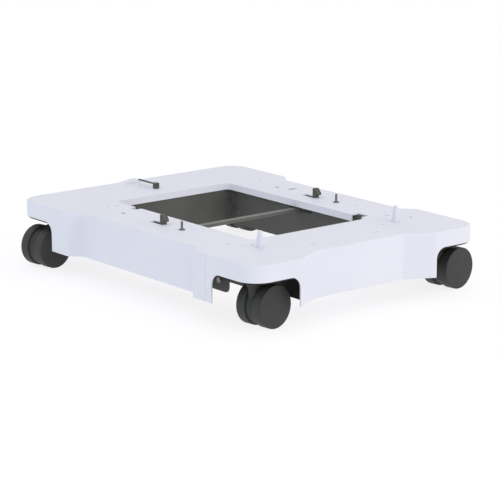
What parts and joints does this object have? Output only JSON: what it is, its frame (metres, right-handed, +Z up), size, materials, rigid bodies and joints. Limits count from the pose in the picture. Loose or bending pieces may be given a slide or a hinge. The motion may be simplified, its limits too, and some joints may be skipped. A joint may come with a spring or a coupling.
{
  "type": "printer castor base",
  "caption": "Low rolling base for an office printer: white covers round a large central opening, a steel frame, twin-wheel castors, lock hooks and a release lever.",
  "frame": {"origin": "centre of the base's footprint, on the floor that the castors stand on", "axes": "+X across the base to its right, +Y along it to the rear where the lever is, +Z up"},
  "size_m": [0.5534, 0.7, 0.1505],
  "materials": {
    "white_plastic": "fine-grained moulded plastic, cool white",
    "dark_steel": "satin dark grey paint",
    "black_steel": "satin black paint",
    "grey_steel": "satin mid-grey paint",
    "hook_grey": "dark grey moulded nylon",
    "zinc_steel": "zinc plated",
    "black_nylon": "black moulded nylon"
  },
  "bodies": {
    "root": {"middle_cover": "white_plastic", "front_cover": "white_plastic", "rear_cover": "white_plastic", "side_rail_left": "dark_steel", "side_rail_right": "dark_steel", "cross_beam_front": "dark_steel", "cross_beam_rear": "dark_steel", "corner_angle_front_left": "dark_steel", "castor_bracket_front_left": "black_steel", "bracket_bolt_front_left": "zinc_steel", "castor_stem_front_left": "zinc_steel", "castor_nut_front_left": "zinc_steel", "corner_angle_front_right": "dark_steel", "castor_bracket_front_right": "black_steel", "bracket_bolt_front_right": "zinc_steel", "castor_stem_front_right": "zinc_steel", "castor_nut_front_right": "zinc_steel", "corner_angle_rear_left": "dark_steel", "castor_bracket_rear_left": "black_steel", "bracket_bolt_rear_left": "zinc_steel", "castor_stem_rear_left": "zinc_steel", "castor_nut_rear_left": "zinc_steel", "corner_angle_rear_right": "dark_steel", "castor_bracket_rear_right": "black_steel", "bracket_bolt_rear_right": "zinc_steel", "castor_stem_rear_right": "zinc_steel", "castor_nut_rear_right": "zinc_steel", "locating_post_left": "white_plastic", "guide_pin_left": "grey_steel", "locating_post_right": "white_plastic", "guide_pin_right": "grey_steel", "lever_support": "dark_steel"},
    "lock_slider": {"lock_crossbar": "grey_steel", "slide_strip_left": "zinc_steel", "slide_strip_right": "zinc_steel", "lock_hook_left": "hook_grey", "lock_hook_right": "hook_grey", "rear_link": "zinc_steel"},
    "release_lever": {"lever_arm": "hook_grey", "lever_hub": "hook_grey", "lever_crank": "zinc_steel"},
    "castor_front_left": {"castor_housing_front_left": "black_nylon", "castor_axle_front_left": "zinc_steel"},
    "wheel_front_left_1": {"castor_wheel_front_left_1": "black_nylon"},
    "wheel_front_left_2": {"castor_wheel_front_left_2": "black_nylon"},
    "castor_front_right": {"castor_housing_front_right": "black_nylon", "castor_axle_front_right": "zinc_steel"},
    "wheel_front_right_1": {"castor_wheel_front_right_1": "black_nylon"},
    "wheel_front_right_2": {"castor_wheel_front_right_2": "black_nylon"},
    "castor_rear_left": {"castor_housing_rear_left": "black_nylon", "castor_axle_rear_left": "zinc_steel"},
    "wheel_rear_left_1": {"castor_wheel_rear_left_1": "black_nylon"},
    "wheel_rear_left_2": {"castor_wheel_rear_left_2": "black_nylon"},
    "castor_rear_right": {"castor_housing_rear_right": "black_nylon", "castor_axle_rear_right": "zinc_steel"},
    "wheel_rear_right_1": {"castor_wheel_rear_right_1": "black_nylon"},
    "wheel_rear_right_2": {"castor_wheel_rear_right_2": "black_nylon"}
  },
  "joints": [
    {"name": "lock_slide", "type": "slide", "parent": "root", "child": "lock_slider", "axis": [0, 1, 0], "range_m": [0, 0.022]},
    {"name": "lever_turn", "type": "hinge", "parent": "root", "child": "release_lever", "pos_m": [-0.0055, 0.259, 0.1185], "axis": [0, 0, -1], "range_deg": [0, 60]},
    {"name": "swivel_front_left", "type": "hinge", "parent": "root", "child": "castor_front_left", "pos_m": [-0.212, -0.2945, 0.08], "axis": [0, 0, 1], "continuous": true},
    {"name": "roll_front_left_1", "type": "hinge", "parent": "castor_front_left", "child": "wheel_front_left_1", "pos_m": [-0.18719, -0.29145, 0.0375], "axis": [-0.1219, 0.9925, 0], "continuous": true},
    {"name": "roll_front_left_2", "type": "hinge", "parent": "castor_front_left", "child": "wheel_front_left_2", "pos_m": [-0.18719, -0.29145, 0.0375], "axis": [-0.1219, 0.9925, 0], "continuous": true},
    {"name": "swivel_front_right", "type": "hinge", "parent": "root", "child": "castor_front_right", "pos_m": [0.212, -0.2945, 0.08], "axis": [0, 0, 1], "continuous": true},
    {"name": "roll_front_right_1", "type": "hinge", "parent": "castor_front_right", "child": "wheel_front_right_1", "pos_m": [0.23681, -0.29145, 0.0375], "axis": [-0.1219, 0.9925, 0], "continuous": true},
    {"name": "roll_front_right_2", "type": "hinge", "parent": "castor_front_right", "child": "wheel_front_right_2", "pos_m": [0.23681, -0.29145, 0.0375], "axis": [-0.1219, 0.9925, 0], "continuous": true},
    {"name": "swivel_rear_left", "type": "hinge", "parent": "root", "child": "castor_rear_left", "pos_m": [-0.212, 0.2945, 0.08], "axis": [0, 0, 1], "continuous": true},
    {"name": "roll_rear_left_1", "type": "hinge", "parent": "castor_rear_left", "child": "wheel_rear_left_1", "pos_m": [-0.23681, 0.29145, 0.0375], "axis": [0.1219, -0.9925, 0], "continuous": true},
    {"name": "roll_rear_left_2", "type": "hinge", "parent": "castor_rear_left", "child": "wheel_rear_left_2", "pos_m": [-0.23681, 0.29145, 0.0375], "axis": [0.1219, -0.9925, 0], "continuous": true},
    {"name": "swivel_rear_right", "type": "hinge", "parent": "root", "child": "castor_rear_right", "pos_m": [0.212, 0.2945, 0.08], "axis": [0, 0, 1], "continuous": true},
    {"name": "roll_rear_right_1", "type": "hinge", "parent": "castor_rear_right", "child": "wheel_rear_right_1", "pos_m": [0.23681, 0.29755, 0.0375], "axis": [-0.1219, 0.9925, 0], "continuous": true},
    {"name": "roll_rear_right_2", "type": "hinge", "parent": "castor_rear_right", "child": "wheel_rear_right_2", "pos_m": [0.23681, 0.29755, 0.0375], "axis": [-0.1219, 0.9925, 0], "continuous": true}
  ],
  "couplings": [
    {"joint": "lever_turn", "follows": "lock_slide", "rad_per_m": 47.5}
  ]
}
